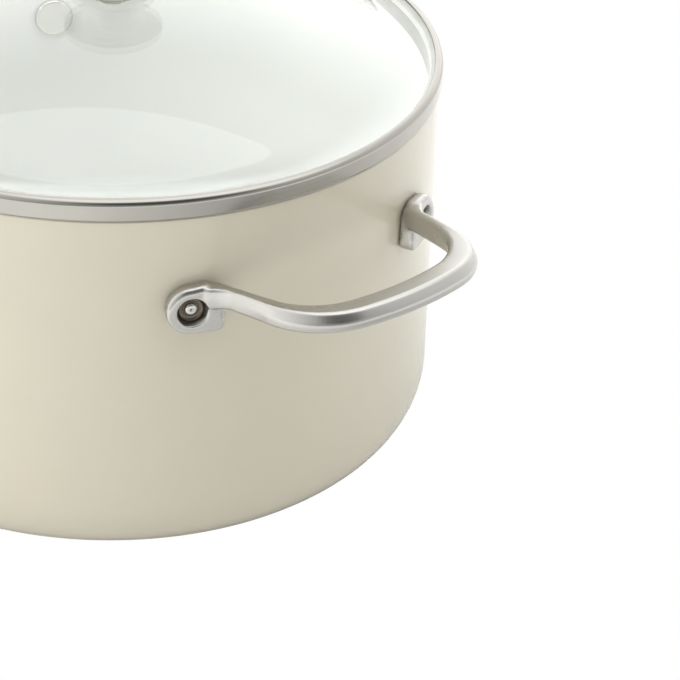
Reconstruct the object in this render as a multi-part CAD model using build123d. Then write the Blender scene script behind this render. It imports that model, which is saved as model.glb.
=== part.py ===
from build123d import *
import os
from math import asin, cos, degrees, radians, sin, sqrt, tan

# Two-handled cooking pot with a domed glass lid. Millimetres, +Z up.
# Origin: centre of the base, on the surface the pot stands on. +X runs through the middle of the right handle.

# pot
pot_radius = 123.0            # outside of the straight wall
pot_height = 143.2            # base to the top edge of the wall
wall_thickness = 3.0
floor_thickness = 6.0
base_corner_radius = 23.5     # outside, between the wall and the base
mouth_edge_radius = 0.8       # rounding of the wall's top edge

# induction plate, pressed flush into the base
plate_radius = 88.0
plate_thickness = 1.5
plate_hole_radius = 5.0       # ring of round windows that the cast base fills
plate_hole_circle = 62.0
plate_hole_count = 12
plate_clearance = 0.05

# handle flanges
flange_thickness = 5.5
flange_span = 107.0           # between the two rivet axes of one handle
flange_drop = 34.5            # rivet axis below the top of the wall
flange_inboard = 11.6         # rivet axis to the flange's inboard side
flange_end_radius = 8.9       # round outboard end
flange_end_shift = (0.2, 0.3) # centre of the round end, from the rivet axis: outboard, up
flange_peak = (-6.5, 10.2)    # highest point of the outline
flange_shoulder = 5.5         # height where the inboard side leans over to the peak
flange_corner_radius = 3.0
flange_front_radius = 2.2     # rounding around the front face
recess_radius = 5.4
recess_depth = 3.6
recess_floor_radius = 1.2

# handle bar
bar_reach = 43.4              # wall to the middle of the bar
bar_leg_spacing = 90.0        # between the legs, where they leave the flanges
bar_root_depth = 1.2          # bar's end inside the flange, from the wall
bar_leg_lift = 4.8            # leg's centre line above the rivet axis, at the flange
bar_rise = 0.121              # climb of the bar per unit of reach
bar_leg_toe = 7.7             # degrees that each leg leans towards the handle's middle
bar_corner_radius = 26.0
bar_bow = 11.0                # degrees that the front run has turned by where the corner begins
root_flare = 3.0              # the leg widens outboard by this much where it grows out of the flange
root_flare_share = 0.11       # of the half path, where the flare ends
section_turn = (0.18, 0.68)   # of the half path, where the leg's section turns into the run's
# corners (outward, up) from the bar's centre line
leg_section = [(-2.2, -4.3), (-2.3, 4.1), (2.0, 4.3), (2.5, 0.0), (2.2, -4.3)]
run_section = [(-5.6, -3.2), (-6.9, 1.9), (3.0, 3.6), (6.2, -0.4), (5.0, -3.6)]
section_radius = 1.3
stations_per_half = 9

# rivets
rivet_radius = 3.0
rivet_clearance = 0.05
rivet_head_radius = 8.0
rivet_head_height = 2.2
rivet_head_edge = 1.2
rivet_collar_radius = 3.0
rivet_collar_height = 0.4
rivet_tip_radius = 2.35
rivet_tip_height = 1.5
rivet_pit_radius = 0.6
rivet_pit_depth = 0.5
rivet_pit_point = 0.05

# lid glass
glass_thickness = 4.0
glass_shoulder_radius = 111.2  # where the flat shoulder turns up into the dome
glass_dome_rise = 27.0
glass_edge_gap = 1.0          # glass edge to the steel band, filled by the seal

# lid rim, rolled from one steel strip
rim_strip = 0.6
rim_overhang = 0.7            # band outside the wall
rim_height = 8.0              # pot's top edge to the top of the rim
rim_lip_width = 3.1           # top lip over the glass
rim_edge_radius = 1.2
rim_skirt_depth = 7.0
rim_skirt_clearance = 0.6     # skirt to the inside of the wall
lid_seat_gap = 0.05

# steam vent
vent_offset = 48.0            # from the lid's axis
vent_angle = 200.0            # degrees from +X
vent_bore_radius = 2.0
vent_tube_radius = 3.6
vent_flange_radius = 6.5
vent_flange_height = 0.8
vent_seal_height = 0.6
vent_clearance = 0.05

# knob
knob_top_radius = 22.0
knob_height = 26.0
knob_neck_radius = 9.0
knob_foot_radius = 13.0
knob_foot_height = 1.5
knob_neck_height = 8.0        # narrowest place above the foot
knob_rim_height = 8.0         # underside of the wide top to the crown
knob_edge_height = 5.0        # rounded edge of the wide top
knob_edge_inset = 1.5         # lower end of the rounded edge, from the widest place
knob_crown_inset = 2.0        # upper end of the rounded edge, from the widest place
knob_waist_bend = 0.3         # how far out the middle of the waist's arcs lies, as a share
knob_flare_rise = 0.62        # how high the middle of the upper arc lies, as a share
knob_base_radius = 17.0
knob_base_height = 3.0
knob_gasket_height = 1.0
screw_radius = 3.0
screw_clearance = 0.05
screw_head_radius = 6.5
screw_head_height = 3.2
screw_grip = 14.0             # thread inside the knob
screw_bore_spare = 0.5        # bore past the screw's end
screw_slot_width = 1.6
screw_slot_depth = 1.4
washer_radius = 11.0
washer_height = 1.2
lower_gasket_height = 1.5
gasket_inset = 0.5            # upper gasket's edge inside the base ring's
lower_gasket_overhang = 1.0
glass_bore_radius = 4.0

# worked out from the sizes above
inner_radius = pot_radius - wall_thickness
floor_corner_radius = base_corner_radius - wall_thickness
rivet_height = pot_height - flange_drop
flange_radius = pot_radius + flange_thickness
flange_angle = degrees(asin(flange_span / 2 / (pot_radius + flange_thickness / 2)))
lid_seat = pot_height + lid_seat_gap
rim_outer_radius = pot_radius + rim_overhang
skirt_outer_radius = inner_radius - rim_skirt_clearance
glass_top = lid_seat + rim_height - rim_strip
glass_bottom = glass_top - glass_thickness
band_inner_radius = rim_outer_radius - rim_strip
glass_radius = band_inner_radius - glass_edge_gap
dome_radius = (glass_shoulder_radius ** 2 + glass_dome_rise ** 2) / (2 * glass_dome_rise)
dome_centre = glass_top + glass_dome_rise - dome_radius
apex_top = glass_top + glass_dome_rise
apex_bottom = apex_top - glass_thickness


def revolved(*edges):
    """A solid of revolution about Z from edges in the XZ plane."""
    return revolve(Plane.XZ * make_face(edges), Axis.Z)


def disc(radius, low, high):
    """A plain cylinder on the Z axis between two heights."""
    return Pos(0, 0, low) * Cylinder(radius, high - low, align=(Align.CENTER, Align.CENTER, Align.MIN))


def rivet_plane(angle):
    """Plane on the rivet axis, at the middle of the pot: its z axis points out through the wall."""
    outward = Vector(cos(radians(angle)), sin(radians(angle)), 0)
    return Plane(origin=(0, 0, rivet_height), x_dir=(-outward.Y, outward.X, 0), z_dir=outward)


def rivet_hole(angle):
    """Clear hole for one rivet, from the pot's inside to outside the flange."""
    reach = flange_radius - inner_radius + 2 * rivet_head_height
    hole = Cylinder(rivet_radius + rivet_clearance, reach, align=(Align.CENTER, Align.CENTER, Align.MIN))
    return rivet_plane(angle) * Pos(0, 0, inner_radius - rivet_head_height) * hole


def build_pot(angles):
    corner = pot_radius - base_corner_radius
    outer = revolved(
        Line((0, 0), (corner, 0)),
        RadiusArc((corner, 0), (pot_radius, base_corner_radius), -base_corner_radius),
        Line((pot_radius, base_corner_radius), (pot_radius, pot_height)),
        Line((pot_radius, pot_height), (0, pot_height)),
        Line((0, pot_height), (0, 0)),
    )
    inner_corner = inner_radius - floor_corner_radius
    low = floor_thickness
    turn = floor_thickness + floor_corner_radius
    inner = revolved(
        Line((0, low), (inner_corner, low)),
        RadiusArc((inner_corner, low), (inner_radius, turn), -floor_corner_radius),
        Line((inner_radius, turn), (inner_radius, pot_height + 1)),
        Line((inner_radius, pot_height + 1), (0, pot_height + 1)),
        Line((0, pot_height + 1), (0, low)),
    )
    pot = outer - inner
    mouth = pot.edges().filter_by(GeomType.CIRCLE).group_by(Axis.Z)[-1]
    pot = fillet(mouth, mouth_edge_radius)
    pot -= disc(plate_radius + plate_clearance, 0, plate_thickness)
    pot += plate_windows(plate_hole_radius - plate_clearance)
    for angle in angles:
        pot -= rivet_hole(angle)
    return pot


def plate_windows(radius):
    """The ring of round posts that fill, or cut, the plate's windows."""
    post = disc(radius, 0, plate_thickness)
    return Part() + [loc * post for loc in PolarLocations(plate_hole_circle, plate_hole_count)]


def build_plate():
    return disc(plate_radius, 0, plate_thickness) - plate_windows(plate_hole_radius)


def flange_outline():
    """Outline seen from outside the pot: x outboard, y up, origin on the rivet axis."""
    end_x, end_y = flange_end_shift
    bottom = (end_x, end_y - flange_end_radius)
    top = (end_x, end_y + flange_end_radius)
    foot = (-flange_inboard, bottom[1])
    shoulder = (-flange_inboard, flange_shoulder)
    face = make_face([
        Polyline(bottom, foot, shoulder, flange_peak, top),
        ThreePointArc(top, (end_x + flange_end_radius, end_y), bottom),
    ])
    corners = [v for v in face.vertices() if v.X < end_x - 1]
    return fillet(corners, flange_corner_radius)


def build_flange(angle, side):
    """One handle flange; side is +1 where outboard is towards growing angle, else -1."""
    plate = Pos(0, 0, inner_radius) * extrude(flange_outline(), flange_radius - inner_radius)
    front = plate.faces().sort_by(Axis.Z)[-1]
    plate = fillet(front.edges(), flange_front_radius)
    if side < 0:
        plate = mirror(plate, Plane.YZ)
    plate = rivet_plane(angle) * plate
    recess = Cylinder(recess_radius, recess_depth + 1, align=(Align.CENTER, Align.CENTER, Align.MIN))
    recess = fillet(recess.edges().sort_by(Axis.Z)[:1], recess_floor_radius)
    plate -= rivet_plane(angle) * Pos(0, 0, flange_radius - recess_depth) * recess
    plate -= disc(pot_radius, 0, pot_height)
    return plate - rivet_hole(angle)


def bar_path():
    """Half of the bar's centre line in plan: from the leg's root to the middle of the front run."""
    bow = radians(bar_bow)
    turn = radians(90 - bar_leg_toe)
    tilt = radians(flange_angle)
    root_y = bar_leg_spacing / 2
    root_x = (pot_radius + bar_root_depth - root_y * sin(tilt)) / cos(tilt)
    corner_y = bar_corner_radius * (sin(turn) - sin(bow))
    corner_x = bar_corner_radius * (cos(bow) - cos(turn))
    middle_x = pot_radius + bar_reach
    run_radius = bar_bow_radius(root_x, root_y, middle_x - corner_x, corner_y, bow)
    run_start = (middle_x - run_radius * (1 - cos(bow)), -run_radius * sin(bow))
    corner_start = (run_start[0] - corner_x, run_start[1] - corner_y)
    corner_centre = (run_start[0] - bar_corner_radius * cos(bow), run_start[1] + bar_corner_radius * sin(bow))
    middle = (bow + turn) / 2
    corner_middle = (corner_centre[0] + bar_corner_radius * cos(middle),
                     corner_centre[1] - bar_corner_radius * sin(middle))
    run_centre = middle_x - run_radius
    run_middle = (run_centre + run_radius * cos(bow / 2), -run_radius * sin(bow / 2))
    return Wire([
        Line((root_x, -root_y), corner_start),
        ThreePointArc(corner_start, corner_middle, run_start),
        ThreePointArc(run_start, run_middle, (middle_x, 0)),
    ])


def bar_bow_radius(root_x, root_y, corner_limit, corner_y, bow):
    """Radius of the front run that lets the leg, the corner and the run meet tangentially."""
    toe = tan(radians(bar_leg_toe))
    reach = corner_limit - root_x
    return (root_y - corner_y - reach * toe) / (sin(bow) - (1 - cos(bow)) * toe)


def blend(amount):
    """Smooth step from 0 to 1."""
    amount = min(max(amount, 0), 1)
    return amount * amount * (3 - 2 * amount)


def bar_section(path, share, side):
    """Rounded section of the bar at a share of the half path, on either side of the middle."""
    place = path @ share
    along = path % share
    root = path @ 0
    start, end = section_turn
    grow = blend((share - start) / (end - start))
    flare = root_flare * (1 - blend(share / root_flare_share))
    corners = []
    for leg, run in zip(leg_section, run_section):
        across = (1 - grow) * leg[0] + grow * run[0]
        up = (1 - grow) * leg[1] + grow * run[1]
        corners.append((across + flare if across > 0 else across, up))
    face = make_face(Polyline(*corners, close=True))
    face = fillet(face.vertices(), section_radius)
    height = rivet_height + bar_leg_lift + bar_rise * (place.X - root.X)
    outward = Vector(along.Y, -along.X, 0)
    origin = Vector(place.X, place.Y, height)
    if side > 0:
        origin = Vector(place.X, -place.Y, height)
        outward = Vector(outward.X, -outward.Y, 0)
    forward = outward.cross(Vector(0, 0, 1))
    return Plane(origin=origin, x_dir=outward, z_dir=forward) * face


def build_handle():
    path = bar_path()
    shares = [i / stations_per_half for i in range(stations_per_half + 1)]
    sections = [bar_section(path, share, -1) for share in shares]
    sections += [bar_section(path, share, 1) for share in reversed(shares[:-1])]
    bar = loft(sections)
    bar -= rivet_recess(-flange_angle) + rivet_recess(flange_angle)
    return bar + build_flange(flange_angle, 1) + build_flange(-flange_angle, -1)


def rivet_recess(angle):
    """Room kept clear in front of a recess, so that the bar's root never closes it."""
    room = Cylinder(recess_radius, flange_thickness * 2, align=(Align.CENTER, Align.CENTER, Align.MIN))
    return rivet_plane(angle) * Pos(0, 0, flange_radius - recess_depth) * room


def build_rivet(angle):
    """Head inside the pot, shank through wall and flange, peened collar and pitted tip in the recess."""
    seat = flange_radius - recess_depth
    low = inner_radius - rivet_head_height
    up = (Align.CENTER, Align.CENTER, Align.MIN)
    head = Pos(0, 0, low) * Cylinder(rivet_head_radius, 2 * rivet_head_height, align=up)
    head = fillet(head.edges().sort_by(Axis.Z)[:1], rivet_head_edge)
    head = (rivet_plane(angle) * head) & disc(inner_radius, 0, pot_height)
    shank = Pos(0, 0, low + rivet_head_edge) * Cylinder(rivet_radius, seat - low - rivet_head_edge, align=up)
    collar = Pos(0, 0, seat) * Cylinder(rivet_collar_radius, rivet_collar_height, align=up)
    tip = Pos(0, 0, seat) * Cylinder(rivet_tip_radius, rivet_tip_height, align=up)
    tip = fillet(tip.edges().sort_by(Axis.Z)[-1:], rivet_tip_radius * 0.6)
    pit = Pos(0, 0, seat + rivet_tip_height) * Cone(rivet_pit_point, rivet_pit_radius, 2 * rivet_pit_depth)
    return head + rivet_plane(angle) * (shank + collar + tip - pit)


def dome_height(radius, drop=0.0):
    """Height of the dome's outside, or of a surface drop below it, at a distance from the axis."""
    return dome_centre + sqrt((dome_radius - drop) ** 2 - radius ** 2)


def build_glass():
    under_radius = dome_radius - glass_thickness
    under_start = sqrt(under_radius ** 2 - (glass_bottom - dome_centre) ** 2)
    half = glass_shoulder_radius / 2
    glass = revolved(
        Line((0, apex_bottom), (0, apex_top)),
        ThreePointArc((0, apex_top), (half, dome_height(half)), (glass_shoulder_radius, glass_top)),
        Line((glass_shoulder_radius, glass_top), (glass_radius, glass_top)),
        Line((glass_radius, glass_top), (glass_radius, glass_bottom)),
        Line((glass_radius, glass_bottom), (under_start, glass_bottom)),
        ThreePointArc((under_start, glass_bottom), (half, dome_height(half, glass_thickness)), (0, apex_bottom)),
    )
    glass -= disc(glass_bore_radius, apex_bottom - 1, apex_top + 1)
    return glass - vent_plane() * disc(vent_tube_radius + vent_clearance, -2 * glass_thickness, glass_thickness)


def build_rim():
    """The strip's section: lip over the glass, band, return on the pot's edge, skirt inside the pot."""
    top = lid_seat + rim_height
    lip = rim_outer_radius - rim_lip_width
    band = rim_outer_radius
    skirt = skirt_outer_radius
    skirt_end = lid_seat - rim_skirt_depth
    strip = rim_strip
    face = make_face(Polyline(
        (lip, top), (band, top), (band, lid_seat), (skirt, lid_seat), (skirt, skirt_end),
        (skirt - strip, skirt_end), (skirt - strip, lid_seat + strip), (band - strip, lid_seat + strip),
        (band - strip, top - strip), (lip, top - strip), close=True))
    outer = [v for v in face.vertices() if v.X > band - 0.1]
    face = fillet(outer, rim_edge_radius)
    inner = [v for v in face.vertices() if abs(v.X - band + strip) < 0.01]
    face = fillet(inner, rim_edge_radius - strip)
    return revolve(Plane.XZ * face, Axis.Z)


def build_seal():
    """Silicone channel that carries the glass edge inside the rim."""
    low = lid_seat + rim_strip
    inner = skirt_outer_radius - rim_strip
    outer = band_inner_radius
    face = make_face(Polyline(
        (inner, low), (outer, low), (outer, glass_top), (glass_radius, glass_top),
        (glass_radius, glass_bottom), (inner, glass_bottom), close=True))
    bends = [v for v in face.vertices() if v.X > outer - 0.01]
    return revolve(Plane.XZ * fillet(bends, rim_edge_radius - rim_strip), Axis.Z)


def vent_plane():
    """Plane on the dome's outside at the vent, square to the glass."""
    turn = radians(vent_angle)
    height = dome_height(vent_offset)
    origin = Vector(vent_offset * cos(turn), vent_offset * sin(turn), height)
    normal = Vector(origin.X, origin.Y, height - dome_centre)
    return Plane(origin=origin, z_dir=normal)


def build_vent():
    """Eyelet, upper seal and lower ring of the steam vent."""
    seal_sag = dome_sag(vent_flange_radius, dome_radius)
    seal_top = vent_seal_height
    under = -glass_thickness - vent_seal_height
    tube_end = under - vent_flange_height
    bore = disc(vent_bore_radius, tube_end - 1, seal_top + vent_flange_height + 1)
    eyelet = disc(vent_flange_radius, seal_top, seal_top + vent_flange_height)
    eyelet = fillet(eyelet.edges().sort_by(Axis.Z)[-1:], vent_flange_height * 0.6)
    eyelet += disc(vent_tube_radius, tube_end, seal_top)
    eyelet -= bore
    seal = disc(vent_flange_radius, -seal_sag, seal_top) - disc(vent_tube_radius, -5, 5)
    seal = vent_plane() * seal - dome_ball(dome_radius)
    ring = disc(vent_flange_radius, tube_end, 0) - disc(vent_tube_radius, tube_end - 1, 1)
    ring = (vent_plane() * ring) & dome_ball(dome_radius - glass_thickness)
    return vent_plane() * eyelet, seal, ring


def dome_sag(radius, ball):
    """Drop of a ball's surface at a distance from the point where it is square to the axis."""
    return ball - sqrt(ball ** 2 - radius ** 2)


def dome_ball(radius):
    return Pos(0, 0, dome_centre) * Sphere(radius)


def build_knob():
    """Turned knob: foot on the base ring, waisted neck, wide crowned top; blind bore for the screw."""
    low = apex_top + knob_gasket_height + knob_base_height
    top = low + knob_height
    foot_top = low + knob_foot_height
    neck = low + knob_neck_height
    under = top - knob_rim_height
    bend = knob_waist_bend
    foot_bend = (knob_neck_radius + bend * (knob_foot_radius - knob_neck_radius), (foot_top + neck) / 2)
    flare = (knob_neck_radius + bend * (knob_top_radius - knob_neck_radius),
             neck + knob_flare_rise * (under - neck))
    edge_low = (knob_top_radius - knob_edge_inset, under)
    edge_middle = (knob_top_radius, under + knob_edge_height / 2)
    edge_high = (knob_top_radius - knob_crown_inset, under + knob_edge_height)
    crown_rise = top - edge_high[1]
    crown_radius = (edge_high[0] ** 2 + crown_rise ** 2) / (2 * crown_rise)
    crown_middle = (edge_high[0] / 2, top - dome_sag(edge_high[0] / 2, crown_radius))
    knob = revolved(
        Line((0, low), (knob_foot_radius, low)),
        Line((knob_foot_radius, low), (knob_foot_radius, foot_top)),
        ThreePointArc((knob_foot_radius, foot_top), foot_bend, (knob_neck_radius, neck)),
        ThreePointArc((knob_neck_radius, neck), flare, edge_low),
        ThreePointArc(edge_low, edge_middle, edge_high),
        ThreePointArc(edge_high, crown_middle, (0, top)),
        Line((0, top), (0, low)),
    )
    return knob - disc(screw_radius + screw_clearance, low - 1, low + screw_grip + screw_bore_spare)


def build_knob_stack():
    """Base ring and gaskets above and below the glass, and the washer."""
    hole = disc(screw_radius + screw_clearance, apex_bottom - 20, apex_top + 20)
    ring_low = apex_top + knob_gasket_height
    ring = disc(knob_base_radius, ring_low, ring_low + knob_base_height)
    ring = fillet(ring.edges().sort_by(Axis.Z)[-1:], knob_base_height * 0.6) - hole
    sag = dome_sag(knob_base_radius, dome_radius)
    gasket = disc(knob_base_radius - gasket_inset, apex_top - sag, ring_low) - dome_ball(dome_radius)
    gasket -= disc(glass_bore_radius, apex_top - 5, ring_low + 1)
    sleeve = disc(glass_bore_radius - screw_clearance, apex_bottom - lower_gasket_height, ring_low)
    pad_low = apex_bottom - lower_gasket_height
    pad = disc(washer_radius + lower_gasket_overhang, pad_low, apex_bottom) & dome_ball(dome_radius - glass_thickness)
    lower = pad + sleeve - hole
    washer = disc(washer_radius, pad_low - washer_height, pad_low) - hole
    return ring, gasket, lower, washer


def build_screw():
    head_top = apex_bottom - lower_gasket_height - washer_height
    knob_low = apex_top + knob_gasket_height + knob_base_height
    head = disc(screw_head_radius, head_top - screw_head_height, head_top)
    head = fillet(head.edges().sort_by(Axis.Z)[:1], screw_head_height * 0.5)
    slot = Box(2 * screw_head_radius + 1, screw_slot_width, 2 * screw_slot_depth)
    head -= Pos(0, 0, head_top - screw_head_height) * slot
    return head + disc(screw_radius, head_top, knob_low + screw_grip)


def main():
    os.makedirs("parts", exist_ok=True)
    angles = {"right_front": -flange_angle, "right_back": flange_angle,
              "left_front": 180 + flange_angle, "left_back": 180 - flange_angle}
    handle = build_handle()
    eyelet, vent_seal, vent_ring = build_vent()
    ring, upper_gasket, lower_gasket, washer = build_knob_stack()
    nodes = {
        "pot_body": build_pot(angles.values()),
        "induction_plate": build_plate(),
        "handle_right": handle,
        "handle_left": Rot(0, 0, 180) * handle,
        "lid_glass": build_glass(),
        "lid_rim": build_rim(),
        "rim_seal": build_seal(),
        "vent_eyelet": eyelet,
        "vent_seal": vent_seal,
        "vent_ring": vent_ring,
        "lid_knob": build_knob(),
        "knob_base_ring": ring,
        "knob_upper_gasket": upper_gasket,
        "knob_lower_gasket": lower_gasket,
        "knob_washer": washer,
        "knob_screw": build_screw(),
    }
    for name, angle in angles.items():
        nodes[f"rivet_{name}"] = build_rivet(angle)
    for name, shape in nodes.items():
        export_step(shape, f"parts/{name}.step")


main()
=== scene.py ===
import math

import bmesh
import bpy
from mathutils import Matrix, Vector
from mathutils.bvhtree import BVHTree


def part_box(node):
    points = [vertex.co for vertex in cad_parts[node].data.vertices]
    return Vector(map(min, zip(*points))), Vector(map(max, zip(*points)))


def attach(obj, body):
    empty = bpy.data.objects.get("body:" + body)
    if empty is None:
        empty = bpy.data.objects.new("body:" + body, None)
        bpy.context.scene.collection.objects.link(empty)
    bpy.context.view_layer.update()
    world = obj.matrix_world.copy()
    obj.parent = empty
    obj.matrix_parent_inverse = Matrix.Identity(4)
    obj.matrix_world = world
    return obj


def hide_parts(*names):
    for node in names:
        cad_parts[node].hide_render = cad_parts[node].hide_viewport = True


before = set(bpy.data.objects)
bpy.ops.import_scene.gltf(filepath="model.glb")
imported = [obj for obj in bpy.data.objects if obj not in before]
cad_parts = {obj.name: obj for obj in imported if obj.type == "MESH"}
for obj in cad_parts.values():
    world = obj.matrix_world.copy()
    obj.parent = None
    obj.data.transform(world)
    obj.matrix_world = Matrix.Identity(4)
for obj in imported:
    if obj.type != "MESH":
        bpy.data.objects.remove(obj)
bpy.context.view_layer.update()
mm = 0.001
onAxis = 1e-7  # a point nearer to the axis than this is on it
nearlyStraight = math.radians(89.5)  # half the angle of a corner too flat to round
sharpAngle = 40  # degrees between faces that still shade as one surface

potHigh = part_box("pot_body")[1]
potRadius = potHigh.x
potHeight = potHigh.z
rimLow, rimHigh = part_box("lid_rim")
rimRadius = min(rimHigh.x, rimHigh.y)
rimTop = rimHigh.z
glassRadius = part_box("lid_glass")[1].x
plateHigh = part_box("induction_plate")[1]


def arcCorner(before, corner, after, radius, steps):
    # points of the arc that rounds one corner of an outline
    a = (Vector(before) - Vector(corner)).normalized()
    b = (Vector(after) - Vector(corner)).normalized()
    half = math.acos(max(-1, min(1, a.dot(b)))) / 2
    if radius <= 0 or half > nearlyStraight:
        return [Vector(corner)]
    reach = radius / math.tan(half)
    centre = Vector(corner) + (a + b).normalized() * radius / math.sin(half)
    start = Vector(corner) + a * reach - centre
    end = Vector(corner) + b * reach - centre
    sweep = math.pi - 2 * half
    side = 1 if start.x * end.y - start.y * end.x > 0 else -1
    points = []
    for i in range(steps + 1):
        turn = side * sweep * i / steps
        points.append(centre + Matrix.Rotation(turn, 2) @ start)
    return points


def roundOutline(corners, steps=8, closed=True):
    # corners are (x, y, radius); open outlines keep their two ends sharp
    points = []
    count = len(corners)
    for i, (x, y, radius) in enumerate(corners):
        if not closed and i in (0, count - 1):
            points.append(Vector((x, y)))
            continue
        before = corners[i - 1][:2]
        after = corners[(i + 1) % count][:2]
        points += arcCorner(before, (x, y), after, radius, steps)
    return points


def linkMesh(name, bm):
    mesh = bpy.data.meshes.new(name)
    bm.to_mesh(mesh)
    bm.free()
    obj = bpy.data.objects.new(name, mesh)
    bpy.context.scene.collection.objects.link(obj)
    return obj


def newObject(name, bm, materials, body):
    bmesh.ops.recalc_face_normals(bm, faces=bm.faces)
    obj = linkMesh(name, bm)
    for material in materials:
        obj.data.materials.append(material)
    shadeSmooth(obj, sharpAngle)
    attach(obj, body)
    return obj


def shadeSmooth(obj, angle):
    mesh = obj.data
    mesh.polygons.foreach_set("use_smooth", [True] * len(mesh.polygons))
    mesh.set_sharp_from_angle(angle=math.radians(angle))


def evenNormals(obj):
    # flat bands keep flat shading beside their rounded edges
    weighted = obj.modifiers.new("evenNormals", "WEIGHTED_NORMAL")
    weighted.keep_sharp = True


def turnOutline(bm, outline, segments, place=None, second=range(0)):
    # turns an outline of (radius, height) points about Z; the second material goes on some of its steps
    rings = []
    for point in outline:
        if point[0] < onAxis:
            rings.append([bm.verts.new((0, 0, point[1]))])
            continue
        ring = []
        for i in range(segments):
            turn = 2 * math.pi * i / segments
            spot = (point[0] * math.cos(turn), point[0] * math.sin(turn), point[1])
            ring.append(bm.verts.new(spot))
        rings.append(ring)
    for i, low in enumerate(rings):
        high = rings[(i + 1) % len(rings)]
        if len(low) == 1 and len(high) == 1:
            continue
        for j in range(segments):
            k = (j + 1) % segments
            corners = [low[j % len(low)], low[k % len(low)], high[k % len(high)], high[j % len(high)]]
            corners = [v for n, v in enumerate(corners) if v not in corners[:n]]
            face = bm.faces.new(corners)
            face.material_index = 1 if i in second else 0
    if place:
        bmesh.ops.transform(bm, matrix=place, verts=bm.verts)


def lathe(name, outline, materials, body, segments, place=None, second=range(0)):
    bm = bmesh.new()
    turnOutline(bm, outline, segments, place, second)
    obj = newObject(name, bm, materials, body)
    evenNormals(obj)
    return obj


def newMaterial(name):
    material = bpy.data.materials.new(name)
    material.use_nodes = True
    tree = material.node_tree
    return material, tree, tree.nodes["Principled BSDF"]


def addNode(tree, kind, inputs=None, **settings):
    node = tree.nodes.new(kind)
    for key, value in settings.items():
        setattr(node, key, value)
    for key, value in (inputs or {}).items():
        if isinstance(value, bpy.types.NodeSocket):
            tree.links.new(value, node.inputs[key])
        else:
            node.inputs[key].default_value = value
    return node


def mixColours(tree, share, first, second):
    # the colour that goes from first to second as the share goes from 0 to 1
    mix = addNode(tree, "ShaderNodeMix", {0: share, 6: first, 7: second}, data_type="RGBA")
    return mix.outputs[2]


def setSockets(shader, values):
    for key, value in values.items():
        shader.inputs[key].default_value = value


def newGroup(name, inputs, outputs):
    group = bpy.data.node_groups.new(name, "ShaderNodeTree")
    for label, kind, value in inputs:
        socket = group.interface.new_socket(name=label, in_out="INPUT", socket_type=kind)
        if value is not None:
            socket.default_value = value
    for label, kind in outputs:
        group.interface.new_socket(name=label, in_out="OUTPUT", socket_type=kind)
    return group, group.nodes.new("NodeGroupInput"), group.nodes.new("NodeGroupOutput")


def placeGroup(tree, group, inputs):
    return addNode(tree, "ShaderNodeGroup", inputs, node_tree=group)


grainNoise = {"detail": 3.0, "roughness": 0.6, "low": 0.3, "high": 0.7}
mottleNoise = {"detail": 4.0, "roughness": 0.55, "low": 0.35, "high": 0.65}


def makeFineGrain():
    # grain drawn out along one direction of the given coordinates
    group, entry, out = newGroup(
        "fineGrain",
        [("Vector", "NodeSocketVector", None), ("Stretch", "NodeSocketVector", (1, 1, 1)),
         ("Scale", "NodeSocketFloat", 1000.0), ("Low", "NodeSocketFloat", 0.2),
         ("High", "NodeSocketFloat", 0.3)],
        [("Height", "NodeSocketFloat"), ("Roughness", "NodeSocketFloat")])
    scaled = addNode(group, "ShaderNodeVectorMath",
                     {0: entry.outputs["Vector"], 1: entry.outputs["Stretch"]}, operation="MULTIPLY")
    noise = addNode(group, "ShaderNodeTexNoise",
                    {"Vector": scaled.outputs[0], "Scale": entry.outputs["Scale"],
                     "Detail": grainNoise["detail"], "Roughness": grainNoise["roughness"]})
    spread = addNode(group, "ShaderNodeMapRange",
                     {"Value": noise.outputs["Fac"], "From Min": grainNoise["low"],
                      "From Max": grainNoise["high"], "To Min": entry.outputs["Low"],
                      "To Max": entry.outputs["High"]})
    group.links.new(noise.outputs["Fac"], out.inputs["Height"])
    group.links.new(spread.outputs["Result"], out.inputs["Roughness"])
    return group


def makeSoftMottle():
    # slow change of tone over the surface, as handling and polishing leave it
    group, entry, out = newGroup(
        "softMottle",
        [("Vector", "NodeSocketVector", None), ("Scale", "NodeSocketFloat", 20.0),
         ("Dark", "NodeSocketColor", (0.5, 0.5, 0.5, 1)), ("Light", "NodeSocketColor", (0.6, 0.6, 0.6, 1))],
        [("Color", "NodeSocketColor")])
    noise = addNode(group, "ShaderNodeTexNoise",
                    {"Vector": entry.outputs["Vector"], "Scale": entry.outputs["Scale"],
                     "Detail": mottleNoise["detail"], "Roughness": mottleNoise["roughness"]})
    mask = addNode(group, "ShaderNodeMapRange",
                   {"Value": noise.outputs["Fac"], "From Min": mottleNoise["low"],
                    "From Max": mottleNoise["high"]})
    tone = mixColours(group, mask.outputs["Result"], entry.outputs["Dark"], entry.outputs["Light"])
    group.links.new(tone, out.inputs["Color"])
    return group


fineGrain = makeFineGrain()
softMottle = makeSoftMottle()


def polarCoordinates(tree):
    # (angle round Z, radius, height) for grain that runs round a turned piece
    place = addNode(tree, "ShaderNodeTexCoord")
    parts = addNode(tree, "ShaderNodeSeparateXYZ", {0: place.outputs["Object"]})
    angle = addNode(tree, "ShaderNodeMath", {0: parts.outputs["Y"], 1: parts.outputs["X"]},
                    operation="ARCTAN2")
    flat = addNode(tree, "ShaderNodeCombineXYZ", {"X": parts.outputs["X"], "Y": parts.outputs["Y"]})
    radius = addNode(tree, "ShaderNodeVectorMath", {0: flat.outputs[0]}, operation="LENGTH")
    return addNode(tree, "ShaderNodeCombineXYZ",
                   {"X": angle.outputs[0], "Y": radius.outputs["Value"], "Z": parts.outputs["Z"]}).outputs[0]


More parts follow.
